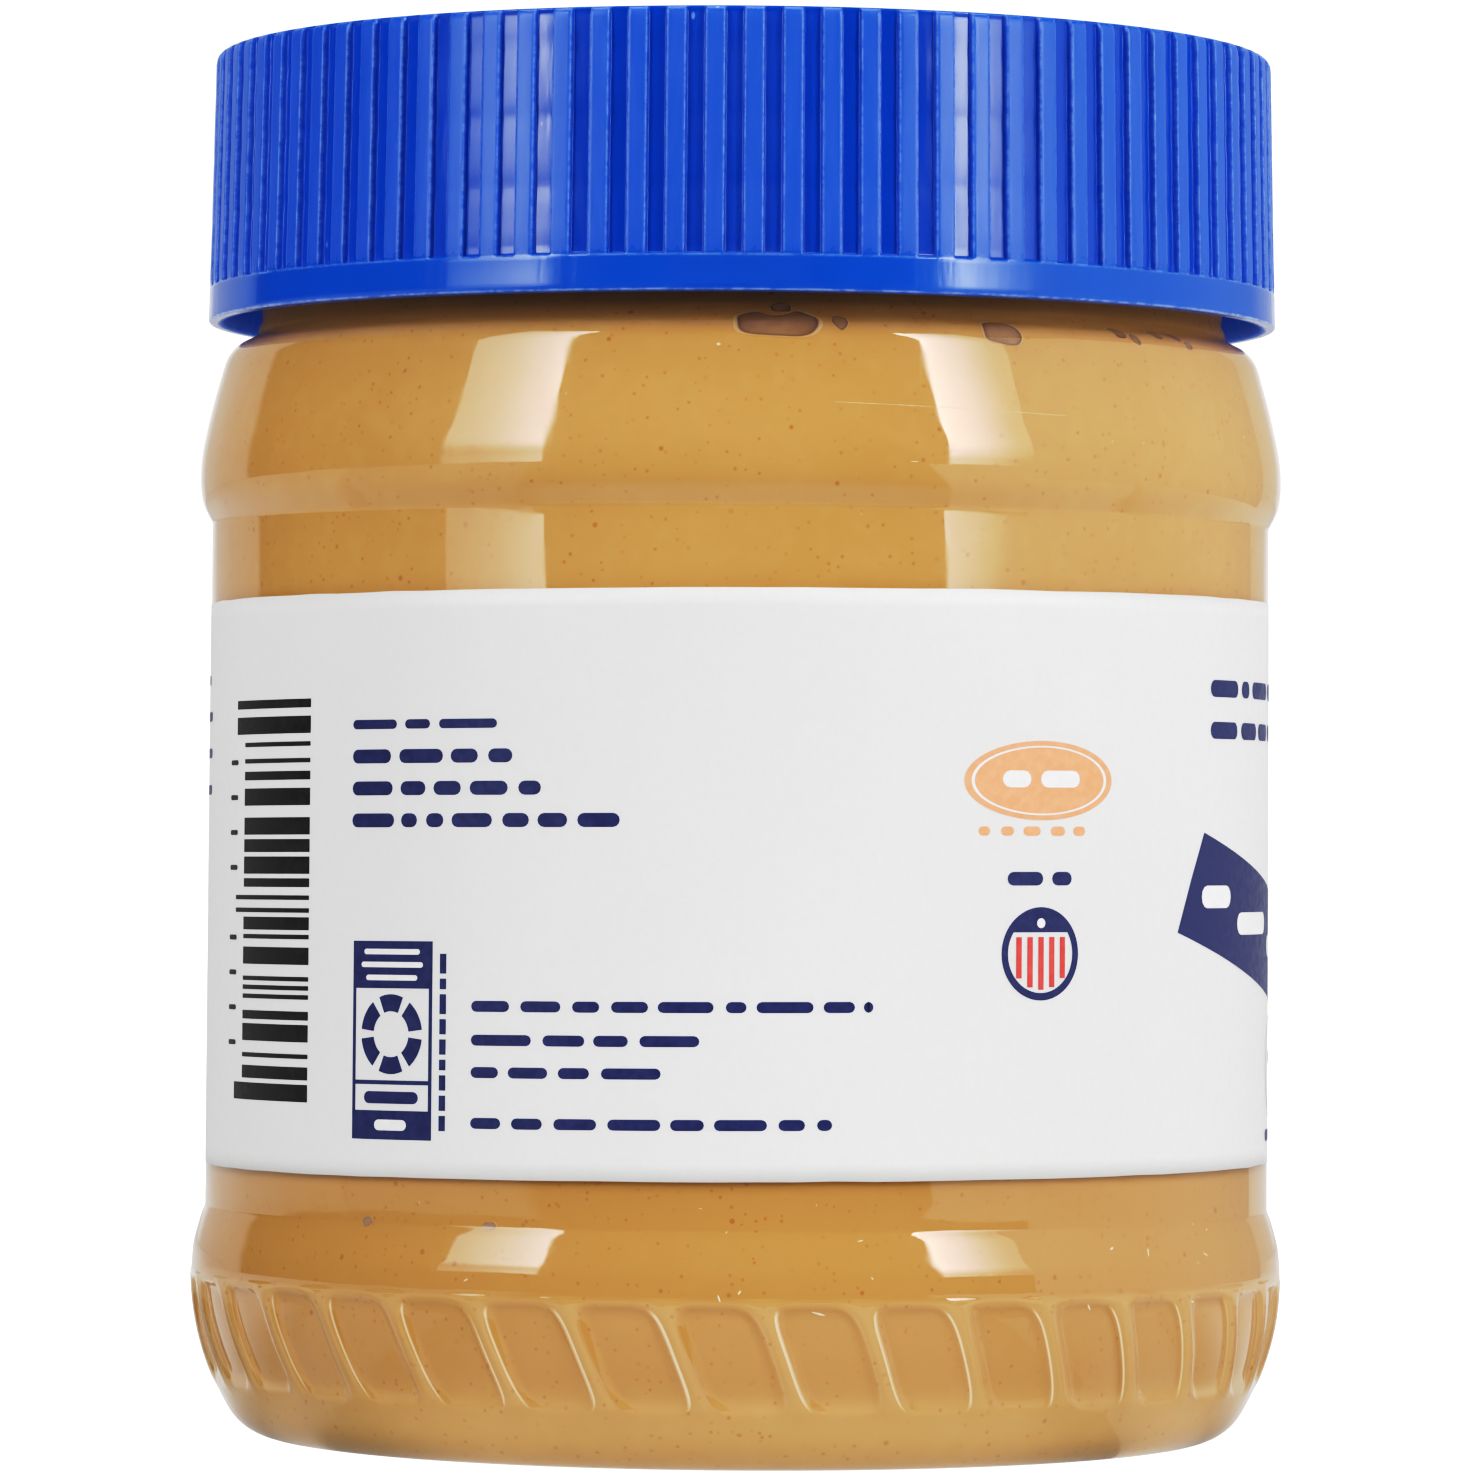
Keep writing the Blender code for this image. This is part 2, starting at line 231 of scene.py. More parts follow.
def new_object(name, verts, faces, smooth=True, mat=None):
    """An object from points in metres and faces."""
    mesh = bpy.data.meshes.new(name)
    mesh.from_pydata([tuple(v) for v in verts], [], faces)
    mesh.validate()
    mesh.update()
    if smooth:
        mesh.shade_smooth()
    if mat is not None:
        mesh.materials.append(mat)
    obj = bpy.data.objects.new(name, mesh)
    bpy.context.scene.collection.objects.link(obj)
    return obj


def set_attribute(obj, name, values):
    """Stores one number a point. Points past the end of the values keep zero."""
    flat = np.zeros(len(obj.data.vertices), dtype=np.float32)
    flat[: len(values)] = values
    layer = obj.data.attributes.new(name, "FLOAT", "POINT")
    layer.data.foreach_set("value", flat)


def polar(r, a, z):
    """Points in metres from radius and height in mm and angle in degrees from the shown side."""
    t = np.radians(a)
    return np.stack([r * np.sin(t) * MM, -r * np.cos(t) * MM, z * MM + 0.0 * t], axis=-1)


def point(r, a, z):
    """One point of polar()."""
    return tuple(polar(np.array([r]), np.array([a]), np.array([z]))[0])


def strip(faces, low, high):
    """Faces between two rings of points, which have as many points or three for one."""
    n, m = len(low), len(high)
    if n == m:
        for j in range(n):
            k = (j + 1) % n
            faces.append([low[j], low[k], high[k], high[j]])
        return
    few, many = (high, low) if n > m else (low, high)
    for j in range(len(few)):
        f0, f1 = few[j], few[(j + 1) % len(few)]
        q = [many[(3 * j + i) % len(many)] for i in range(4)]
        tris = [[q[0], q[1], f0], [q[1], q[2], f0], [q[2], f1, f0], [q[2], q[3], f1]]
        faces += tris if n > m else [t[::-1] for t in tris]


def lofted(name, mat, rings, pole_start=None, pole_end=None, ring=False, extra=None):
    """A surface through rings of (radius, angle, height), closed by end points or into a ring."""
    verts, index, faces = [], [], []
    for r, a, z in rings:
        pts = polar(r, a, z)
        index.append(list(range(len(verts), len(verts) + len(pts))))
        verts += pts.tolist()
    for low, high in zip(index, index[1:]):
        strip(faces, low, high)
    if ring:
        strip(faces, index[-1], index[0])
    if pole_start is not None:
        verts.append((0.0, 0.0, pole_start * MM))
        first = index[0]
        faces += [[len(verts) - 1, first[(j + 1) % len(first)], first[j]] for j in range(len(first))]
    if pole_end is not None:
        verts.append((0.0, 0.0, pole_end * MM))
        last = index[-1]
        faces += [[len(verts) - 1, last[j], last[(j + 1) % len(last)]] for j in range(len(last))]
    obj = new_object(name, verts, faces, mat=mat)
    for key, values in (extra or {}).items():
        set_attribute(obj, key, np.concatenate(values))
    return obj


# Node helpers


class Nodes:
    """The nodes of a material or world. A value may be a number, a colour or a node's output."""

    def __init__(self, owner, clear=False):
        owner.use_nodes = True
        self.tree = owner.node_tree
        if clear:
            self.tree.nodes.clear()

    def give(self, socket, value):
        if isinstance(value, bpy.types.NodeSocket):
            self.tree.links.new(value, socket)
        elif socket.type == "RGBA":
            socket.default_value = (*value, 1.0)
        else:
            socket.default_value = value

    def set(self, name, value):
        """Gives the material's main shader a value."""
        self.give(self.tree.nodes["Principled BSDF"].inputs[name], value)

    def add(self, kind, inputs=None, **settings):
        node = self.tree.nodes.new(kind)
        for name, value in settings.items():
            setattr(node, name, value)
        for name, value in (inputs or {}).items():
            self.give(node.inputs[name], value)
        return node

    def place(self, kind="Object"):
        return self.add("ShaderNodeTexCoord").outputs[kind]

    def stretched(self, scale):
        inputs = {"Vector": self.place(), "Scale": scale}
        return self.add("ShaderNodeMapping", inputs).outputs["Vector"]

    def attribute(self, name):
        return self.add("ShaderNodeAttribute", attribute_name=name).outputs["Fac"]

    def noise(self, scale, detail, rough=0.55, vector=None):
        inputs = {"Scale": scale, "Detail": detail, "Roughness": rough, "Vector": vector or self.place()}
        return self.add("ShaderNodeTexNoise", inputs).outputs["Fac"]

    def ramp(self, value, stops):
        """Turns a value into a colour by stops of (place, colour)."""
        node = self.add("ShaderNodeValToRGB", {"Fac": value})
        elements = node.color_ramp.elements
        while len(elements) < len(stops):
            elements.new(0.5)
        for element, (place, colour) in zip(elements, stops):
            element.position = place
            element.color = (*colour, 1.0)
        return node.outputs["Color"]

    def mix(self, share, a, b):
        inputs = {"Factor": share, "A": a, "B": b}
        node = self.add("ShaderNodeMix", inputs, data_type="RGBA", blend_type="MIX")
        return [o for o in node.outputs if o.type == "RGBA"][0]

    def math(self, operation, a, b=None):
        node = self.add("ShaderNodeMath", operation=operation)
        self.give(node.inputs[0], a)
        if b is not None:
            self.give(node.inputs[1], b)
        return node.outputs[0]

    def times(self, a, b):
        return self.math("MULTIPLY", a, b)

    def span(self, value, low, high, to_low=0.0, to_high=1.0):
        """Goes smoothly from to_low to to_high as the value goes from low to high."""
        inputs = {"From Min": low, "From Max": high, "To Min": to_low, "To Max": to_high, "Value": value}
        node = self.add("ShaderNodeMapRange", inputs, interpolation_type="SMOOTHSTEP")
        return node.outputs["Result"]

    def bump(self, height, strength, distance):
        inputs = {"Height": height, "Strength": strength, "Distance": distance}
        self.set("Normal", self.add("ShaderNodeBump", inputs).outputs["Normal"])

    def specks(self, vector, scale, size, share):
        """Round dots of radius size/scale, at about the given share of a random grid's points."""
        cells = self.add("ShaderNodeTexVoronoi", {"Scale": scale, "Vector": vector}, feature="F1")
        dot = self.span(cells.outputs["Distance"], size * 0.55, size, 1.0, 0.0)
        pick = self.add("ShaderNodeSeparateColor", {"Color": cells.outputs["Color"]})
        chosen = self.span(pick.outputs["Red"], 1.0 - share - 0.03, 1.0 - share)
        depth = self.span(pick.outputs["Green"], 0.0, 1.0, 0.35, 1.0)
        return self.times(self.times(dot, chosen), depth)


def material(name, clear=False):
    mat = bpy.data.materials.new(name)
    return mat, Nodes(mat, clear)


# Materials


def clear_plastic():
    mat, s = material("clear_plastic_wall")
    s.set("Transmission Weight", 1.0)
    place = s.place()
    wave = s.noise(95.0, 1.0, vector=place)
    tint = s.ramp(wave, [(0.3, (0.985, 0.98, 0.965)), (0.7, (0.995, 0.992, 0.985))])
    s.set("Base Color", tint)
    wear = s.noise(900.0, 1.0, vector=s.stretched((1.0, 1.0, 0.25)))
    s.set("Roughness", s.span(wear, 0.35, 0.8, 0.030, 0.085))
    s.set("IOR", s.span(s.attribute("shade"), 0.0, 1.0, 1.54, 1.02))
    s.bump(wave, 0.30, 0.0004)
    return mat


PASTE = ((0.475, 0.264, 0.094), (0.500, 0.284, 0.102), (0.525, 0.302, 0.112))
PASTE_LIGHT = (0.600, 0.410, 0.180)
PASTE_LOW_SHADE = (0.430, 0.232, 0.080)
PASTE_SHADE = (0.210, 0.070, 0.026)
PASTE_GLEAM = (0.92, 0.76, 0.56)
SKIN_SPECK = (0.36, 0.105, 0.032)
NUT_SPECK = (0.30, 0.070, 0.026)


def peanut_butter():
    mat, s = material("peanut_butter_paste")
    place = s.place()
    cloud = s.noise(34.0, 2.0, 0.6, vector=place)
    base = s.ramp(cloud, [(0.3, PASTE[0]), (0.5, PASTE[1]), (0.72, PASTE[2])])
    fine = s.noise(620.0, 1.0, 0.6, vector=place)
    base = s.mix(s.span(fine, 0.40, 0.75, 0.0, 0.10), base, PASTE_LIGHT)
    # Painted shade: the paste is darker from the heel up past the bulge and fades out by 30 mm. There is
    # none on the sole.
    base = s.mix(s.times(s.attribute("low"), 0.65), base, PASTE_LOW_SHADE)
    # Painted light: the lands between the pockets and the sole are lighter, as if more light fell on
    # them.
    base = s.mix(s.times(s.attribute("land"), 0.30), base, PASTE_LIGHT)
    small = s.specks(place, 1500.0, 0.235, 0.62)
    base = s.mix(s.times(small, 0.44), base, SKIN_SPECK)
    large = s.specks(place, 470.0, 0.110, 0.55)
    base = s.mix(s.times(large, 0.52), base, NUT_SPECK)
    base = s.mix(s.times(s.attribute("neck"), 0.14), base, PASTE_SHADE)
    base = s.mix(s.times(s.attribute("gleam"), 0.72), base, PASTE_GLEAM)
    s.set("Base Color", base)
    s.set("Specular IOR Level", 0.10)
    s.set("Roughness", s.span(fine, 0.3, 0.7, 0.38, 0.55))
    return mat


def air_pocket():
    """The paste seen at the bottom of an air pocket: browner, with a painted dark line of shade round it
    and a painted highlight at its edge.
    """
    mat, s = material("air_pocket_paste")
    place = s.place()
    murk = s.noise(900.0, 2.0, vector=place)
    base = s.ramp(murk, [(0.35, (0.285, 0.160, 0.080)), (0.7, (0.350, 0.205, 0.106))])
    # Painted shade: a dark line round the pocket's edge.
    base = s.mix(s.attribute("outline"), base, (0.160, 0.080, 0.050))
    base = s.mix(s.attribute("faint"), base, (0.355, 0.235, 0.165))
    # Painted highlight: a light ring just outside the pocket's edge.
    base = s.mix(s.attribute("lip_glint"), base, PASTE_LIGHT)
    s.set("Base Color", base)
    s.set("Roughness", s.span(murk, 0.3, 0.7, 0.30, 0.45))
    s.set("Specular IOR Level", 0.30)
    return mat


def scuffed_plastic():
    """Roughened plastic, paler than the paste behind it."""
    mat, s = material("scuffed_plastic")
    grain = s.noise(2600.0, 2.0)
    pale = s.ramp(grain, [(0.3, (0.62, 0.50, 0.34)), (0.7, (0.80, 0.74, 0.64))])
    s.set("Base Color", pale)
    s.set("Roughness", s.span(grain, 0.3, 0.7, 0.45, 0.65))
    return mat


# The flat top of the cap is satin: its sheen goes between these two heights
SATIN_FROM, SATIN_BY = 94.90, 94.945


def cap_plastic():
    mat, s = material("moulded_blue_plastic")
    cloud = s.noise(120.0, 1.0)
    base = s.ramp(cloud, [(0.3, (0.0042, 0.086, 0.460)), (0.7, (0.0058, 0.098, 0.520))])
    crest = s.attribute("crest")
    scuff = s.noise(1500.0, 2.0, 0.7, vector=s.stretched((1.0, 1.0, 0.10)))
    # Streaky wear and painted light: the ribs' crests are lighter blue than the rest.
    worn_and_lit_crest = s.times(crest, s.span(scuff, 0.30, 0.75, 0.55, 0.95))
    base = s.mix(worn_and_lit_crest, base, (0.026, 0.112, 0.560))
    # Painted shade: the grooves between the ribs are darker.
    groove_shade = s.times(s.attribute("groove"), 0.55)
    base = s.mix(groove_shade, base, (0.0008, 0.056, 0.410))
    # Pale edge lines: a ragged mould fin at the band's foot, and painted highlight along the band's top
    # and the ribs' edges.
    ragged = s.noise(800.0, 2.0, 0.75, vector=s.stretched((1.0, 1.0, 2.0)))
    uneven = s.span(ragged, 0.36, 0.62, 0.15, 0.70)
    flash_and_glint = s.times(s.attribute("edge"), uneven)
    base = s.mix(flash_and_glint, base, (0.28, 0.44, 0.86))
    nick = s.specks(s.stretched((1.0, 1.0, 0.5)), 620.0, 0.10, 0.10)
    base = s.mix(s.times(nick, 0.6), base, (0.25, 0.46, 0.90))
    s.set("Base Color", base)
    rough = s.span(scuff, 0.3, 0.8, 0.10, 0.22)
    rough = s.math("ADD", rough, s.times(crest, 0.20))
    rough = s.math("ADD", rough, s.times(s.attribute("inside"), 0.45))
    height = s.add("ShaderNodeSeparateXYZ", {"Vector": s.place()}).outputs["Z"]
    top = s.span(height, SATIN_FROM * MM, SATIN_BY * MM)
    rough = s.math("ADD", rough, s.times(top, 0.35))
    s.set("Roughness", rough)
    s.set("IOR", s.span(top, 0.0, 1.0, 1.49, 1.12))
    # Painted light: the inside of the skirt glows faint blue, so that it looks lit in the cap's shade.
    s.set("Emission Color", (0.006, 0.085, 0.50))
    s.set("Emission Strength", s.times(s.attribute("inside"), 0.30))
    s.bump(scuff, 0.10, 0.00008)
    return mat


def label_paper():
    mat, s = material("satin_label_paper")
    cloud = s.noise(45.0, 1.0)
    base = s.ramp(cloud, [(0.3, (0.736, 0.739, 0.736)), (0.7, (0.758, 0.761, 0.758))])
    grain = s.noise(1700.0, 2.0, 0.7)
    base = s.mix(s.span(grain, 0.3, 0.75, 0.0, 0.10), base, (0.62, 0.62, 0.62))
    s.set("Base Color", base)
    s.set("Roughness", s.span(grain, 0.3, 0.7, 0.42, 0.56))
    s.set("IOR", 1.42)
    s.bump(grain, 0.10, 0.00008)
    return mat


def ink(name, colour, other, rough=0.42):
    mat, s = material(name)
    grain = s.noise(1500.0, 1.0, 0.7)
    s.set("Base Color", s.ramp(grain, [(0.35, colour), (0.75, other)]))
    s.set("Roughness", s.span(grain, 0.3, 0.7, rough - 0.05, rough + 0.08))
    s.set("IOR", 1.36)
    s.bump(grain, 0.08, 0.00005)
    return mat


# The jar's wall

WALL = 1.15
# The cap shades the wall from the first height to the second, and it loses its gleam there
SHADED_FROM, SHADED_BY = 74.35, 75.2


def fluted(r, z, low):
    """Whether a row at this radius and height is in the fluted part of the heel."""
    return r > FLUTED_MIN_R and low < z < FLUTED_TOP


def make_jar(mat):
    outside = outer_profile()
    nrm = profile_normals(outside)
    rings, shade = [], []
    for (r0, z0), (nr, nz) in zip(outside[1:], nrm[1:]):
        a = flute_angles(z0) if fluted(r0, z0, 0.2) else even_angles(z0)
        r = np.full(len(a), r0)
        z = np.full(len(a), z0)
        if fluted(r0, z0, 0.0):
            relief = flute_relief(a, z, *WALL_POCKET)
            r = r + relief * nr
            z = z + relief * nz
        rings.append((r, a, z))
        shade.append(smoothstep(z, SHADED_FROM, SHADED_BY))
    inner = [(p[0] - WALL * q[0], p[1] - WALL * q[1]) for p, q in zip(outside, nrm)]
    keep = [inner[i] for i in range(10, len(inner) - 5, 5)]
    path = [(33.1, 93.0), (32.5, 93.0), (32.0, 92.7), (32.0, 80.0), (32.0, 76.2)]
    path += [p for p in reversed(keep) if p[1] < 74.4 and (p[0] > 32.6 or p[1] < 10.0)]
    path += [(28.0, 1.6), (12.0, 3.0)]
    for r0, z0 in path:
        a = even_angles(z0)
        rings.append((np.full(len(a), r0), a, np.full(len(a), z0)))
    obj = lofted("jar_shell", mat, rings, pole_start=FOOT_MIDDLE, pole_end=3.3, extra={"shade": shade})
    obj.visible_shadow = False
    obj.visible_diffuse = False
    return obj


# The contents

# How far the contents reach into the wall, so that no air shows between them
SUNK = 0.50
# Air pockets against the wall: angle and height of the middle, half width and half height in mm,
# tilt in degrees, pinch of the upper side
AIR_POCKETS = [
    (3.85, 74.50, 2.72, 0.96, 0.0, 0.50),
    (4.40, 75.62, 0.72, 0.30, 0.0, 0.0),
    (10.6, 74.55, 0.50, 0.48, -35.0, 0.0),
    (29.0, 74.10, 1.40, 0.72, -4.0, 0.0),
    (45.9, 74.55, 0.55, 0.36, 0.0, 0.0),
    (48.0, 74.20, 0.42, 0.30, -20.0, 0.0),
    (52.8, 74.60, 0.50, 0.28, 0.0, 0.0),
    (56.3, 74.60, 0.56, 0.27, -10.0, 0.0),
    (58.0, 74.10, 0.42, 0.24, 0.0, 0.0),
    (-41.6, 15.8, 0.42, 0.34, 20.0, 0.0),
    (-26.1, 15.8, 0.50, 0.30, 0.0, 0.0),
]


def contents_path():
    """(radius, height) of the outside of the contents."""
    outside = outer_profile()
    nrm = profile_normals(outside)
    path = [(10.0, 3.05), (22.0, 2.3), (28.6, 1.05)]
    for p, q in zip(outside, nrm):
        if p[0] > FLUTED_MIN_R and p[1] < 78.0:
            path.append((p[0] - SUNK * q[0], p[1] - SUNK * q[1]))
    return path


def edge_gleam(a, dist, x, y):
    """The light line that a pocket's sharp edge throws on the paste, stronger on the side near a lamp."""
    turn = (a + 180.0) % 360.0 - 180.0
    inner = smoothstep(np.abs(turn), 19.0, 21.0)
    near_left = smoothstep(turn, 0.0, 2.0) * (1.0 - inner)
    near_left = near_left + inner * (1.0 - smoothstep(turn, -22.0, -20.0))
    near_right = smoothstep(turn, -28.0, -26.0) * (1.0 - smoothstep(turn, -4.0, -2.0))
    near_right = near_right + smoothstep(turn, 20.0, 22.0)
    side = np.where(x < 0.0, near_left, near_right)
    line = np.exp(-(((dist - 0.07) / 0.065) ** 2)) * smoothstep(np.abs(x), 1.6, 2.3)
    ends = smoothstep(y, -3.5, -2.6) * (1.0 - smoothstep(y, 2.8, 3.4))
    edge_on = 1.0 - 0.7 * smoothstep(np.abs(turn), 48.0, 66.0)
    return line * ends * edge_on * (0.10 + 0.90 * np.clip(side, 0.0, 1.0))


def make_contents(mat):
    path = contents_path()
    path += [(32.5, 79.6), (32.45, 86.5), (31.5, 86.9), (15.0, 87.1)]
    rings, land, neck, gleam, low = [], [], [], [], []
    for r0, z0 in path:
        in_zone = fluted(r0, z0, 0.7)
        a = flute_angles(z0) if in_zone else even_angles(z0)
        r = np.full(len(a), r0)
        z = np.full(len(a), z0)
        on_land, bright = 0.0 * a, 0.0 * a
        if in_zone:
            r = r + flute_relief(a, z, *CONTENTS_POCKET)
            dist, x, y = flute_place(a, z)
            on_land = (1.0 - smoothstep(dist, -0.15, 0.15)) * smoothstep(y, -4.0, -3.0)
            on_land = on_land * (1.0 - smoothstep(y, 3.7, 4.1))
            bright = edge_gleam(a, dist, x, y)
        rings.append((r, a, z))
        # The lands and the sole get painted light.
        sole = 1.0 - smoothstep(z, 2.5, 6.5)
        land.append(np.maximum(on_land, 0.85 * sole))
        neck.append(smoothstep(z, 73.6, 76.0))
        gleam.append(bright)
        # Share of the painted shade near the bottom: full from 6.5 mm to 18 mm and gone by 30 mm.
        low.append(1.0 - smoothstep(z, 18.0, 30.0) - sole)
    extra = {"land": land, "neck": neck, "gleam": gleam, "low": low}
    return lofted("peanut_butter_fill", mat, rings, pole_start=3.1, pole_end=87.1, extra=extra)


def make_air_pockets(mat):
    """Shallow dishes against the wall, each with a painted dark line of shade and a light ring of painted
    highlight round it.
    """
    path_r, path_z = np.array([p for p in contents_path() if p[1] > 10.0]).T
    shares = np.array([0.25, 0.50, 0.72, 0.84, 0.90, 0.955, 1.0, 1.06, 1.13])
    # How much painted shade and painted highlight each ring of the dish gets.
    outline = np.array([0.0, 0.0, 0.10, 0.30, 0.55, 1.0, 0.25, 0.0, 0.0])
    lip_glint = np.array([0.0, 0.0, 0.0, 0.0, 0.0, 0.0, 0.65, 0.75, 0.0])
    lift = np.array([0.02, 0.02, 0.03, 0.05, 0.07, 0.09, 0.09, 0.05, -0.05])
    turns = 72
    t = np.linspace(0.0, 2.0 * math.pi, turns, endpoint=False)
    verts, faces, dark, light, pale = [], [], [], [], []
    for ca, cz, hw, hh, tilt, pinch in AIR_POCKETS:
        start = len(verts)
        paleness = 0.8 if cz < 20.0 else 0.0
        wobble = 1.0 + 0.035 * np.sin(3.0 * t + ca) + 0.03 * np.sin(5.0 * t - cz)
        waist = 1.0 - pinch * np.exp(-((np.cos(t) / 0.28) ** 2)) * (np.sin(t) > 0)
        power = 2.0 / 2.6
        x0 = hw * np.sign(np.cos(t)) * np.abs(np.cos(t)) ** power * wobble
        y0 = hh * np.sign(np.sin(t)) * np.abs(np.sin(t)) ** power * wobble * waist
        c, q = math.cos(tilt * D2R), math.sin(tilt * D2R)
        for k, share in enumerate(shares):
            x, y = x0 * share, y0 * share
            z = cz + x * q + y * c
            a = ca + (x * c - y * q) / (35.0 * D2R)
            r = np.interp(z, path_z, path_r) + lift[k]
            verts += polar(r, a, z).tolist()
            dark += [outline[k]] * turns
            light += [lip_glint[k]] * turns
            pale += [paleness] * turns
        for k in range(len(shares) - 1):
            for j in range(turns):
                i, m = start + k * turns + j, start + k * turns + (j + 1) % turns
                faces.append([i, i + turns, m + turns, m])
        verts.append(point(np.interp(cz, path_z, path_r) + 0.02, ca, cz))
        dark.append(0.0)
        light.append(0.0)
        pale.append(paleness)
        faces += [[len(verts) - 1, start + j, start + (j + 1) % turns] for j in range(turns)]
    obj = new_object("air_pockets", verts, faces, mat=mat)
    for name, values in (("outline", dark), ("lip_glint", light), ("faint", pale)):
        set_attribute(obj, name, values)
    return obj


# Wear on the wall

# Pale marks: angle, height, length, width in mm, slope in degrees
MARKS = [
    (-2.4, 73.05, 0.26, 0.22, 0.0),
    (41.6, 14.40, 0.34, 0.16, 20.0),
    (46.9, 14.05, 0.55, 0.12, 80.0),
    (56.9, 13.70, 0.60, 0.10, -25.0),
    (12.6, 15.20, 0.40, 0.08, 10.0),
    (0.4, 11.9, 0.30, 0.16, 60.0),
    (-1.6, 11.5, 0.50, 0.10, -70.0),
    (8.2, 10.55, 0.90, 0.13, -15.0),
    (38.0, 10.65, 0.45, 0.14, -60.0),
    (53.8, 10.65, 0.42, 0.12, -10.0),
    (-27.8, 12.35, 0.35, 0.08, 30.0),
    (17.5, 65.55, 0.55, 0.05, 0.0),
]


def make_marks(mat):
    """Nicks and one long thin scratch, lying on the outside of the wall."""
    path_r, path_z = np.array(outer_profile()[8:]).T
    rng = random.Random(21)
    verts, faces = [], []

    def sliver(a, z, length, width, slope, steps):
        start = len(verts)
        c, q = math.cos(slope * D2R), math.sin(slope * D2R)
        for i in range(steps + 1):
            t = 2.0 * i / steps - 1.0
            half = 0.5 * width * math.sqrt(max(0.02, 1.0 - t * t)) * rng.uniform(0.65, 1.0)
            for side in (-1.0, 1.0):
                x = 0.5 * length * t * c - side * half * q
                y = 0.5 * length * t * q + side * half * c
                r = float(np.interp(z + y, path_z, path_r)) + 0.015
                verts.append(point(r, a + x / (r * D2R), z + y))
        for i in range(steps):
            k = start + 2 * i
            faces.append([k, k + 2, k + 3, k + 1])

    for a, z, length, width, slope in MARKS:
        sliver(a, z, length, width, slope, 6)
    for _ in range(46):
        a = rng.uniform(-180.0, 180.0)
        z = rng.choice([rng.uniform(57.8, 73.5), rng.uniform(12.6, 18.4)])
        sliver(a, z, rng.uniform(0.10, 0.32), rng.uniform(0.03, 0.07), rng.uniform(0.0, 180.0), 3)
    for k in range(24):
        at = 10.0 + 24.6 * k / 23.0
        sliver(at, 69.33 - 0.018 * (at - 10.0), 0.86, rng.uniform(0.015, 0.032), -1.0, 3)
    return new_object("wall_marks", verts, faces, mat=mat)


# The screw cap

# Ribs: their number, the angle of one of them and the grooves' depth
RIBS, RIB_AT, RIB_DEPTH = 90, 1.1, 0.46
CAP_LOW, BAND_TOP, CAP_TOP = 76.45, 78.86, 95.0
CREST_LOW_R, CREST_TOP_R = 36.77, 36.44
# Round edge of the top: its radius and the height of its centre
CAP_EDGE, CAP_EDGE_Z = 0.62, 94.38
# Heights of the top's middle and of the ceiling
CAP_MIDDLE, CEILING = 94.95, 93.4


def crest_radius(z):
    """Radius of the ribs' crests, with a small flare over the band."""
    taper = (CREST_LOW_R - CREST_TOP_R) * (z - BAND_TOP) / (CAP_TOP - BAND_TOP)
    return CREST_LOW_R - taper + 0.05 * math.exp(-((z - BAND_TOP) / 1.2))


def rib_waves(z, a):
    """Depth of the slight waves that run round the ribs, rising a little to the right."""
    depth = 0.0 * a
    for k in (-1, 0, 1, 2):
        line = 83.4 + 4.5 * k + 0.9 * a / 360.0
        depth = depth + np.exp(-(((z - line) / 0.55) ** 2))
    return 0.045 * depth


def cap_rows():
    """Rows up the outside: radius, height, share of the grooves' depth, edge line (a pale mould fin at
    the band's foot and a painted highlight at its top).

    A radius of None stands for the ribs' crests.
    """
    rows = [
        (36.30, CAP_LOW, 0.0, 0.0),
        (36.58, CAP_LOW, 0.0, 0.0),
        (36.74, CAP_LOW + 0.05, 0.0, 0.4),
        (36.82, CAP_LOW + 0.12, 0.0, 1.0),
        (36.85, CAP_LOW + 0.22, 0.0, 0.05),
        (36.84, CAP_LOW + 0.6, 0.0, 0.0),
        (36.82, 77.6, 0.0, 0.0),
        (36.80, BAND_TOP - 0.35, 0.0, 0.0),
        (36.80, BAND_TOP - 0.16, 0.0, 0.0),
        (36.78, BAND_TOP - 0.05, 0.0, 0.35),
        (36.76, BAND_TOP + 0.01, 0.12, 0.35),
        (36.76, BAND_TOP + 0.05, 0.55, 0.1),
        (36.76, BAND_TOP + 0.10, 0.92, 0.0),
        (36.76, BAND_TOP + 0.22, 1.0, 0.0),
    ]
    low = (79.6, 80.6, 81.5, 82.2, 82.7, 83.1, 83.4, 83.8, 84.3, 85.2, 86.3, 87.0, 87.5, 87.9)
    high = (88.3, 88.8, 89.6, 90.6, 91.3, 91.9, 92.4, 93.2, 93.9, 94.25)
    rows += [(None, z, 1.0, 0.0) for z in low + high]
    for t, cut in ((0.0, 1.0), (20.0, 0.95), (36.0, 0.72), (50.0, 0.38), (66.0, 0.10), (90.0, 0.0)):
        r = CREST_TOP_R - CAP_EDGE + CAP_EDGE * math.cos(t * D2R)
        rows.append((r, CAP_EDGE_Z + CAP_EDGE * math.sin(t * D2R), cut, 0.0))
    return rows


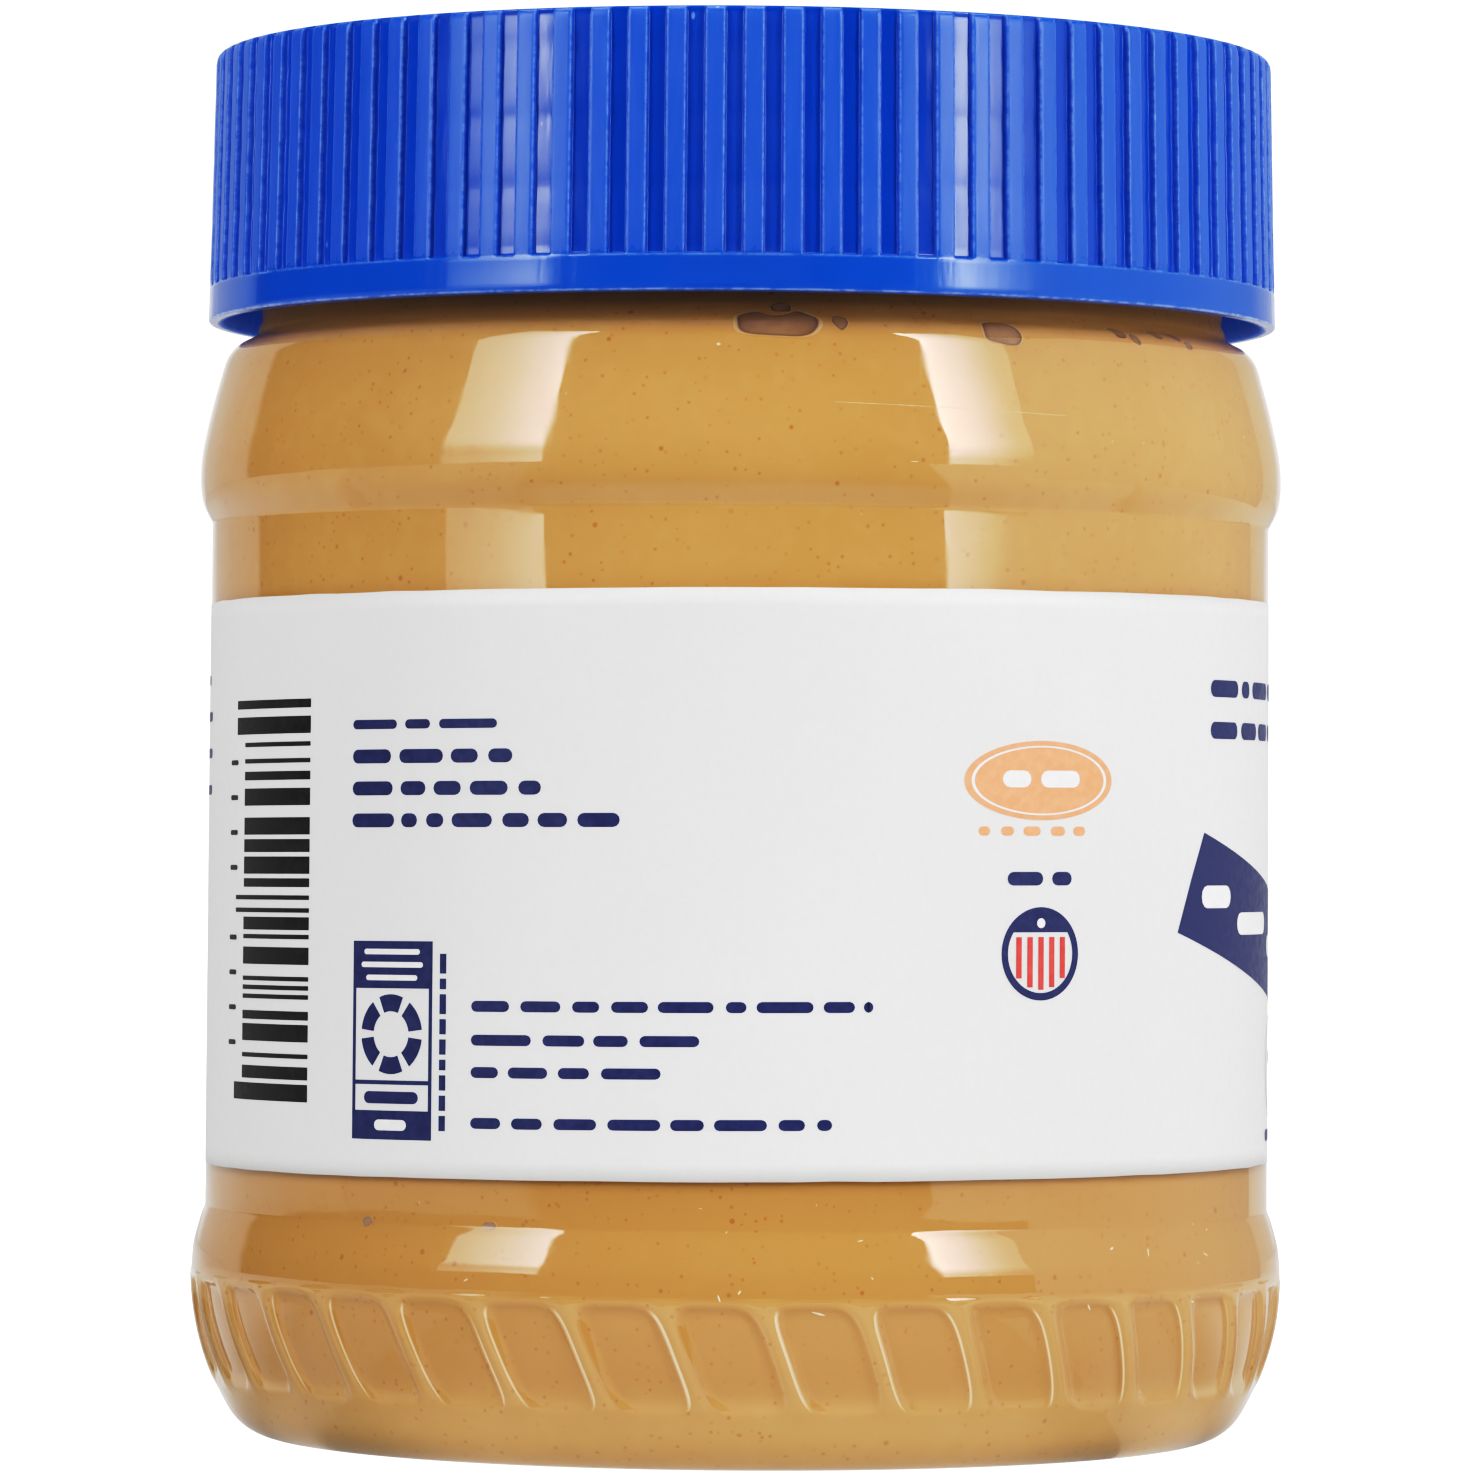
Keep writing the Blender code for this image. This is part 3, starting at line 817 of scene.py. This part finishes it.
def make_cap(mat):
    """The cap from the middle of its ceiling down the inside, up the outside and over the top."""
    pitch = 360.0 / RIBS
    half = np.array([0.0, 0.15, 0.205, 0.226, 0.240, 0.251, 0.266, 0.282, 0.31, 0.40])
    unit = np.concatenate([half, [0.5], 1.0 - half[:0:-1]])
    angles = np.concatenate([(k + unit) * pitch for k in range(RIBS)]) + RIB_AT
    place = (angles - RIB_AT) / pitch
    u = np.abs(place - np.round(place))
    jitter = np.repeat(np.random.default_rng(4).normal(0.0, 0.03, RIBS), len(unit))
    groove = smoothstep(u, 0.240, 0.282)
    corner = 0.045 * smoothstep(u, 0.205, 0.245) * (1.0 - groove)
    # Painted highlight along both edges of each rib's crest.
    rib_edge_glint = np.exp(-(((u - 0.236) / 0.020) ** 2))
    turn = (angles + 180.0) % 360.0 - 180.0
    none = 0.0 * angles
    rings, extra = [], {"crest": [], "edge": [], "groove": [], "inside": []}

    def add_row(r, z, **looks):
        rings.append((r + none, angles, z + none))
        for key, values in extra.items():
            values.append(looks.get(key, 0.0) + none)

    inner = [(18.0, CEILING), (34.6, CEILING), (35.2, 93.0), (35.2, 84.0), (35.25, 78.2), (35.45, 77.2)]
    inner += [(35.75, CAP_LOW + 0.12), (35.95, CAP_LOW)]
    for r, z in inner:
        add_row(r, z, inside=1.0)
    for r, z, cut, edge in cap_rows():
        out = crest_radius(z) if r is None else r
        out = out - (RIB_DEPTH + 0.012 * jitter) * groove * cut - corner * min(cut * 1.4, 1.0)
        if r is None:
            out = out - rib_waves(z, turn) * (0.35 + 0.65 * groove)
        on_ribs = cut * smoothstep(z, 78.9, 79.2)
        edge = edge + 0.55 * rib_edge_glint * on_ribs
        add_row(out, z, crest=(1.0 - groove) * on_ribs, edge=edge, groove=groove * on_ribs)
    for r, z in ((34.6, CAP_TOP), (30.0, CAP_TOP - 0.03), (15.0, CAP_MIDDLE)):
        add_row(r, z)
    return lofted("screw_cap", mat, rings, pole_start=CEILING, pole_end=CAP_MIDDLE, extra=extra)


# The label

LABEL_LOW, LABEL_HIGH = 18.95, 57.30
SKEW = 0.236
PRINT_MM_A_DEGREE = 36.6 * D2R


def label_radius(z):
    """Radius of the label's outside, which follows the panel's taper."""
    return 36.64 - 0.12 * (z - 19.0) / 38.3


def skewed(z, a):
    """The label was wrapped slightly askew, so its heights swing round the jar."""
    return z + SKEW * np.sin(np.radians(a))


def make_label(mat):
    """A thin closed tube with slightly ragged edges that turn in to the wall."""
    angles = np.linspace(-180.0, 180.0, 480, endpoint=False)
    rng = np.random.default_rng(9)
    knots = np.linspace(-180, 180, 90)
    rag_low = np.interp(angles, knots, rng.normal(0, 0.018, 90), period=360)
    rag_top = np.interp(angles, knots, rng.normal(0, 0.018, 90), period=360)
    shares = [0.0, 0.0, 0.03, 0.25, 0.5, 0.75, 0.97, 1.0, 1.0]
    lifts = [-0.07, -0.012, 0.0, 0.0, 0.0, 0.0, 0.0, -0.012, -0.07]
    rings = []
    for share, lift in zip(shares, lifts):
        z = LABEL_LOW + (LABEL_HIGH - LABEL_LOW) * share
        ragged = rag_low * (1 - share) + rag_top * share
        rings.append((label_radius(z) + lift + 0.0 * angles, angles, skewed(z + ragged, angles)))
    return lofted("wrap_label", mat, rings, ring=True)


class Print:
    """Shapes of one ink, drawn in (degrees, mm) and wrapped just over the label."""

    def __init__(self, name, mat, lift):
        self.name, self.mat, self.lift = name, mat, lift
        self.verts, self.faces = [], []

    def grid(self, a, z):
        """a and z are 2D arrays of one patch's points. Rows rise and columns go to the right."""
        start = len(self.verts)
        rows, cols = a.shape
        pts = polar(label_radius(z) + self.lift, a, skewed(z, a)).reshape(-1, 3)
        self.verts += pts.tolist()
        for i in range(rows - 1):
            for j in range(cols - 1):
                k = start + i * cols + j
                self.faces.append([k, k + 1, k + cols + 1, k + cols])

    def between(self, a, low, high):
        """Fills between a lower and an upper line of heights."""
        self.grid(np.stack([a, a]), np.stack([low, high]))

    def bar(self, a0, a1, z0, z1):
        a = np.linspace(a0, a1, max(2, int(abs(a1 - a0) / 1.5) + 2))
        self.between(a, z0 + 0.0 * a, z1 + 0.0 * a)

    def dash(self, a0, a1, z, height):
        """A rounded dash centred on height z."""
        half = height / 2
        deg = half / PRINT_MM_A_DEGREE
        t = np.linspace(0.0, math.pi / 2, 4)
        left = [(a0 + deg * (1 - math.cos(x)), half * math.sin(x)) for x in t]
        right = [(a1 - deg * (1 - math.cos(x)), half * math.sin(x)) for x in t[::-1]]
        steps = max(2, int((a1 - a0) / 1.5) + 2)
        mid = [(v, half) for v in np.linspace(a0 + deg, a1 - deg, steps)][1:-1]
        a, h = np.array(left + mid + right).T
        self.between(a, z - h, z + h)

    def ring(self, ca, cz, r_in, r_out, sy=1.0, start=0.0, end=360.0):
        n = max(8, int(abs(end - start) / 6))
        t = np.radians(np.linspace(start, end, n + 1))
        rr = np.linspace(r_out, r_in, max(2, int((r_out - r_in) / 0.8) + 2))[:, None]
        a = ca + rr * np.cos(t)[None, :] / PRINT_MM_A_DEGREE
        z = cz + rr * np.sin(t)[None, :] * sy
        self.grid(a, z)

    def disc(self, ca, cz, r, sy=1.0):
        self.ring(ca, cz, 0.0, r, sy)

    def region(self, outline):
        """Fills a curved shape: outline(share along it) gives (angle, low, high)."""
        self.between(*np.array([outline(t) for t in np.linspace(0.0, 1.0, 40)]).T)

    def words(self, a0, a1, z, height, rng, mean=4.2):
        """A line of print as a row of dashes with word gaps."""
        a = a0
        while a < a1 - 1.0:
            w = min(mean * rng.uniform(0.45, 1.5), a1 - a)
            if a1 - (a + w) < 1.6:
                w = a1 - a
            self.dash(a, a + w, z, height)
            a += w + rng.uniform(0.9, 1.25)

    def build(self):
        return new_object(self.name, self.verts, self.faces, mat=self.mat)


def make_print():
    navy = Print("print_navy", ink("navy_ink", (0.030, 0.036, 0.118), (0.042, 0.050, 0.145)), 0.020)
    black = Print("print_black", ink("black_ink", (0.012, 0.012, 0.013), (0.03, 0.03, 0.032)), 0.020)
    orange = Print("print_orange", ink("orange_ink", (0.78, 0.345, 0.190), (0.80, 0.380, 0.225)), 0.020)
    red = Print("print_red", ink("red_ink", (0.66, 0.075, 0.070), (0.70, 0.10, 0.09)), 0.030)
    grey = Print("print_grey", ink("grey_ink", (0.31, 0.33, 0.39), (0.37, 0.39, 0.45)), 0.020)
    white = Print("print_white", ink("white_ink", (0.80, 0.80, 0.80), (0.84, 0.84, 0.84)), 0.034)
    rng = random.Random(12)

    # Bar pattern at the left
    z = 50.4
    while z > 23.6:
        thick = rng.choice([0.30, 0.30, 0.58, 0.58, 0.86, 1.15])
        gap = rng.choice([0.30, 0.30, 0.55, 0.80])
        longer = z > 49.0 or z < 25.0 or abs(z - 37.0) < 0.7
        black.bar(-67.6 if longer else -65.2, -50.9, max(z - thick, 23.5), z)
        z -= thick + gap
    for k in range(11):
        if k % 5:
            black.dash(-69.6, -67.2, 48.6 - 2.35 * k, 0.34)

    # Address lines
    navy.words(-44.0, -23.5, 48.6, 0.62, rng, 6.0)
    for z, end, mean in ((46.5, -23.7, 5.0), (44.4, -20.5, 4.2), (42.3, -12.1, 4.4)):
        navy.words(-44.0, end, z, 0.92, rng, mean)

    # Boxed pictogram
    a0, a1 = -43.6, -32.9
    navy.bar(a0, a1, 31.3, 34.4)
    navy.bar(a0, a1, 21.4, 23.3)
    for x in (a0, a1 - 0.45):
        navy.bar(x, x + 0.45, 23.3, 31.3)
    navy.bar(a0, a1, 25.0, 25.28)
    for z, s in ((33.7, 1.6), (32.85, 1.2), (32.0, 1.9)):
        white.dash(a0 + s, a1 - s, z, 0.36)
    navy.dash(a0 + 1.7, a1 - 1.7, 24.15, 0.8)
    white.dash(a0 + 3.2, a1 - 3.2, 22.35, 0.7)
    # A ring of six blocks in the box
    mid = (a0 + a1) / 2
    for k in range(6):
        navy.ring(mid, 28.3, 1.50, 2.62, 1.0, 60.0 * k + 7.0, 60.0 * k + 53.0)
    z = 33.6
    while z > 21.9:
        step = rng.choice([0.7, 1.0, 1.3])
        navy.bar(-32.0, -31.2, z - step, z)
        z -= step + 0.32

    # Notes
    for z, end in ((30.2, 13.9), (28.0, -3.8), (25.9, -7.7), (22.6, 9.7)):
        navy.words(-28.2, end, z, 0.72, rng, 4.6)

    # Orange seal with a thin light ring
    orange.disc(32.8, 44.9, 5.9, 0.44)
    white.ring(32.8, 44.9, 5.15, 5.38, 0.42)
    white.dash(28.0, 31.4, 45.0, 1.1)
    white.dash(32.6, 37.6, 45.0, 1.1)
    orange.words(25.2, 40.5, 41.6, 0.62, rng, 1.5)

    # Roundel with upright stripes
    ca, cz = 32.7, 33.6
    navy.words(28.6, 36.6, 38.5, 0.9, rng, 3.4)
    navy.ring(ca, cz, 2.55, 3.05, 1.0)

    def brow(t):
        rise = 1.25 * math.sqrt(max(0.0, 1 - (2 * t - 1) ** 2))
        return ca - 3.6 + 7.2 * t, 35.0, 35.02 + rise

    navy.region(brow)
    for k in range(-2, 3):
        x = ca + 1.35 * k
        h = math.sqrt(max(0.0, 2.35**2 - (1.35 * k * PRINT_MM_A_DEGREE) ** 2))
        red.bar(x - 0.34, x + 0.34, cz - h, min(cz + h, 34.7))
    white.disc(ca, 35.6, 0.32)

    # Front panel, which starts at the right edge of the shown side and has a long sweep
    sweep_at, sweep_length = 52.8, 104.0
    navy.words(59.5, 92.0, 51.2, 1.15, rng, 6.0)
    navy.words(59.5, 84.0, 48.4, 1.15, rng, 7.0)

    def sweep(t):
        x = sweep_at + sweep_length * t
        sag = 33.4 - 4.8 * math.sin(math.pi * min(1.0, t * 1.02))
        low = sag + 1.5 * (1 - t) * (1 - t)
        return x, low, low + 7.6 * min(1.0, (x - sweep_at) / 5.0)

    navy.region(sweep)
    for x, w in ((57.6, 7.0), (66.6, 12.0), (81.0, 9.0), (93.0, 16.0), (112.0, 10.0), (125.0, 14.0)):
        _, low, high = sweep((x + w / 2 - sweep_at) / sweep_length)
        white.dash(x, x + w, (low + high) / 2, 1.5)
    # Slice of bread with a spread, as plain shapes
    navy.ring(103.0, 47.6, 0.0, 5.6, 0.86)
    navy.bar(94.6, 111.4, 41.4, 47.8)
    spread_ink = ink("orange_top_ink", (0.74, 0.33, 0.17), (0.78, 0.37, 0.21))
    orange_top = Print("print_orange_top", spread_ink, 0.032)
    orange_top.disc(103.0, 47.3, 4.6, 0.84)
    orange_top.bar(96.2, 109.8, 42.2, 47.4)
    grey.ring(86.0, 25.6, 3.35, 3.55, 1.0)
    grey.ring(120.0, 25.6, 3.35, 3.55, 1.0)
    navy.words(80.0, 126.0, 20.9, 0.8, rng, 5.0)
    navy.dash(84.0, 88.0, 26.2, 0.9)
    navy.dash(118.0, 122.0, 26.2, 0.9)

    # Plain table of rules and dashes at the back
    left, right = 178.0, 226.0
    for x in (left, right - 0.5):
        navy.bar(x, x + 0.5, 22.0, 54.0)
    for z, thick in ((53.5, 0.5), (50.2, 0.9), (35.6, 0.6), (24.6, 0.6), (22.0, 0.5)):
        navy.bar(left, right, z, z + thick)
    for z in (46.8, 44.0, 41.2, 38.4, 32.8, 30.0, 27.2):
        navy.bar(left, right, z, z + 0.25)
    for z in (51.9, 48.4, 45.4, 42.6, 39.8, 37.0, 34.2, 31.4, 28.6, 26.0):
        navy.words(left + 1.6, left + 24.0, z, 0.7, rng, 5.0)
        navy.dash(right - 7.0, right - 1.6, z, 0.7)
    for z in (52.0, 49.5, 47.0, 44.5):
        navy.words(232.0, 280.0, z, 0.66, rng, 4.8)
    # Overlap seam of the wrap
    grey.bar(168.0, 168.25, LABEL_LOW + 0.05, LABEL_HIGH - 0.05)
    return [p.build() for p in (navy, black, orange, red, grey, white, orange_top)]


# Stage, lights and camera

FLOOR_SIZE = 6.0
BOX_DISTANCE = 0.40


def make_floor():
    """A pale floor that the camera sees as white, with bright sectors that light the jar."""
    mat, s = material("pale_floor")
    place = s.place()
    far = s.add("ShaderNodeVectorMath", {0: place}, operation="LENGTH")
    sides = s.add("ShaderNodeSeparateXYZ", {"Vector": place})
    reach, x, y = far.outputs["Value"], sides.outputs["X"], sides.outputs["Y"]
    near = s.span(reach, 0.09, 0.18, 0.92, 0.0)
    behind = s.span(y, -0.04, 0.02, 0.0, 1.0)
    ahead = s.math("ABSOLUTE", s.math("ADD", y, -0.01))
    slope = s.math("DIVIDE", x, ahead)
    right = s.span(slope, 0.81, 0.84, 0.0, 1.0)
    left = s.span(slope, -1.05, -0.79, 1.0, 0.0)
    right = s.times(right, s.span(reach, 0.06, 0.14, 0.60, 1.0))
    left = s.times(left, s.span(reach, 0.06, 0.14, 0.50, 0.60))
    lamps = s.math("MAXIMUM", left, right)
    lamps = s.times(lamps, s.span(y, -0.02, 0.0, 1.0, 0.0))
    aside = s.math("DIVIDE", s.math("ABSOLUTE", x), reach)
    near = s.times(near, s.span(aside, 0.45, 0.80, 1.0, 0.55))
    lit = s.math("MAXIMUM", near, behind)
    seen = s.add("ShaderNodeLightPath").outputs["Is Camera Ray"]
    lit = s.math("MAXIMUM", lit, seen)
    s.set("Base Color", s.mix(lit, (0.05, 0.05, 0.05), (0.36, 0.36, 0.36)))
    glow = s.math("MAXIMUM", s.times(lit, 0.55), lamps)
    shown = s.span(reach, 0.06, 0.30, 0.85, 1.20)
    glow = s.math("ADD", glow, s.times(seen, shown))
    s.set("Emission Strength", glow)
    s.set("Roughness", 0.7)
    s.set("Specular IOR Level", 0.0)
    s.set("Emission Color", (1.0, 1.0, 1.0))
    corners = [(FLOOR_SIZE * i, FLOOR_SIZE * j, 0.0) for i, j in ((-1, -1), (1, -1), (1, 1), (-1, 1))]
    return new_object("floor", corners, [[0, 1, 2, 3]], False, mat)


def softbox(name, az0, az1, heights, level):
    """A curved light panel round the jar. level(share across, height) is its brightness."""
    n_a = 15
    az = np.radians(np.linspace(az0, az1, n_a))
    verts, values = [], []
    for h in heights:
        for j in range(n_a):
            verts.append((BOX_DISTANCE * math.sin(az[j]), -BOX_DISTANCE * math.cos(az[j]), h))
            values.append(level(j / (n_a - 1), h))
    faces = []
    for i in range(len(heights) - 1):
        for j in range(n_a - 1):
            k = i * n_a + j
            faces.append([k, k + n_a, k + n_a + 1, k + 1])
    mat, s = material(name + "_light", clear=True)
    glow = s.add("ShaderNodeEmission", {"Strength": s.attribute("level")})
    s.add("ShaderNodeOutputMaterial", {"Surface": glow.outputs["Emission"]})
    obj = new_object(name, verts, faces, mat=mat)
    set_attribute(obj, "level", values)
    obj.visible_camera = False
    obj.visible_shadow = False
    return obj


def left_level(x, h):
    """Brightness of the left panel, which rises to the right and near its top."""
    dip = 0.9 * math.exp(-(((h - 0.100) / 0.012) ** 2))
    return (4.8 - dip + 5.6 * smoothstep(h, 0.111, 0.144)) * (0.30 + 0.72 * x**1.7)


def right_level(x, h):
    """Brightness of the right panel, falling off from its sharp left edge."""
    level = 5.0 + 3.6 * smoothstep(h, 0.082, 0.108) + 3.4 * smoothstep(h, 0.106, 0.140)
    return level * (1.05 - 0.85 * smoothstep(x, -0.1, 0.95) + 0.3 * math.exp(-x / 0.06))


def fill_level(x, h):
    return 0.95 - 0.20 * x - 0.30 * smoothstep(x, 0.55, 1.0)


def area_light(name, size, power, place, tilt):
    light = bpy.data.lights.new(name, "AREA")
    light.size = size
    light.energy = power
    obj = bpy.data.objects.new(name, light)
    obj.location = place
    obj.rotation_euler = (tilt * D2R, 0.0, 0.0)
    bpy.context.scene.collection.objects.link(obj)
    return obj


def make_lights():
    heights = [0.062, 0.075, 0.084, 0.092, 0.10, 0.108, 0.12, 0.135]
    heights += [0.15, 0.165, 0.185, 0.25, 0.35, 0.46, 0.56]
    panels = [
        softbox("softbox_left", -62.3, -40.2, heights, left_level),
        softbox("softbox_right", 42.3, 61.4, heights, right_level),
        softbox("fill_right", 61.4, 141.0, [0.0, 0.2, 0.45], fill_level),
    ]
    area_light("overhead", 0.9, 7.0, (0.0, 0.1, 1.1), 0.0)
    front = area_light("front", 0.5, 3.1, (0.0, -1.0, 0.42), 69.0)
    front.visible_glossy = False
    return panels


def make_world():
    """White behind the jar and dim elsewhere, and white wherever the camera sees it."""
    world = bpy.data.worlds.new("studio")
    bpy.context.scene.world = world
    s = Nodes(world, clear=True)
    y = s.add("ShaderNodeSeparateXYZ", {"Vector": s.place("Generated")}).outputs["Y"]
    back = s.math("ADD", s.span(y, 0.600, 0.640, 0.03, 0.62), s.span(y, 0.93, 0.99, 0.0, 0.38))
    seen = s.add("ShaderNodeLightPath").outputs["Is Camera Ray"]
    level = s.math("MAXIMUM", back, s.times(seen, 1.4))
    sky = s.add("ShaderNodeBackground", {"Strength": level, "Color": (1.0, 1.0, 1.0)})
    s.add("ShaderNodeOutputWorld", {"Surface": sky.outputs["Background"]})


# The camera that was fitted to the photo: size and lens in pixels, place in metres, turn in degrees
PHOTO_PX, LENS_PX = 1474.0, 7750.0
CAMERA_DISTANCE, CAMERA_HEIGHT = 0.5363, 0.0398
CAMERA_YAW, CAMERA_PITCH, CAMERA_ROLL = math.degrees(math.atan(2.14 / LENS_PX)), 0.899, 0.393


def make_camera():
    data = bpy.data.cameras.new("camera")
    data.sensor_width = 36.0
    data.lens = LENS_PX / PHOTO_PX * data.sensor_width
    data.clip_start = 0.05
    data.clip_end = 50.0
    cam = bpy.data.objects.new("camera", data)
    bpy.context.scene.collection.objects.link(cam)
    turn = (
        Matrix.Rotation(CAMERA_YAW * D2R, 4, "Z")
        @ Matrix.Rotation((90.0 + CAMERA_PITCH) * D2R, 4, "X")
        @ Matrix.Rotation(CAMERA_ROLL * D2R, 4, "Z")
    )
    cam.matrix_world = Matrix.Translation((0.0, -CAMERA_DISTANCE, CAMERA_HEIGHT)) @ turn
    bpy.context.scene.camera = cam


# The photo's contrast: scene brightness and the brightness that it is shown at
TONE = [(0.0, 0.0), (0.08, 0.038), (0.19, 0.15), (0.34, 0.352), (0.49, 0.55), (0.76, 0.75), (1.15, 1.0)]


def set_tone():
    view = bpy.context.scene.view_settings
    view.view_transform = "Standard"
    view.look = "None"
    view.use_curve_mapping = True
    tone = view.curve_mapping
    tone.clip_max_x = 2.0
    tone.clip_max_y = 2.0
    curve = tone.curves[3]
    curve.points[1].location = TONE[-1]
    for x, y in TONE[1:-1]:
        curve.points.new(x, y)
    tone.update()


# Assembly

jar = make_jar(clear_plastic())
fill = make_contents(peanut_butter())
cap = make_cap(cap_plastic())
label = make_label(label_paper())
prints = make_print()
pockets = make_air_pockets(air_pocket())
marks = make_marks(scuffed_plastic())
for piece in [jar, fill, cap, label, pockets, marks] + prints:
    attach(piece, "root")
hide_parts("jar")
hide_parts("peanut_butter")
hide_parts("cap")
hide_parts("label")

make_floor()
make_lights()
make_world()
make_camera()
set_tone()
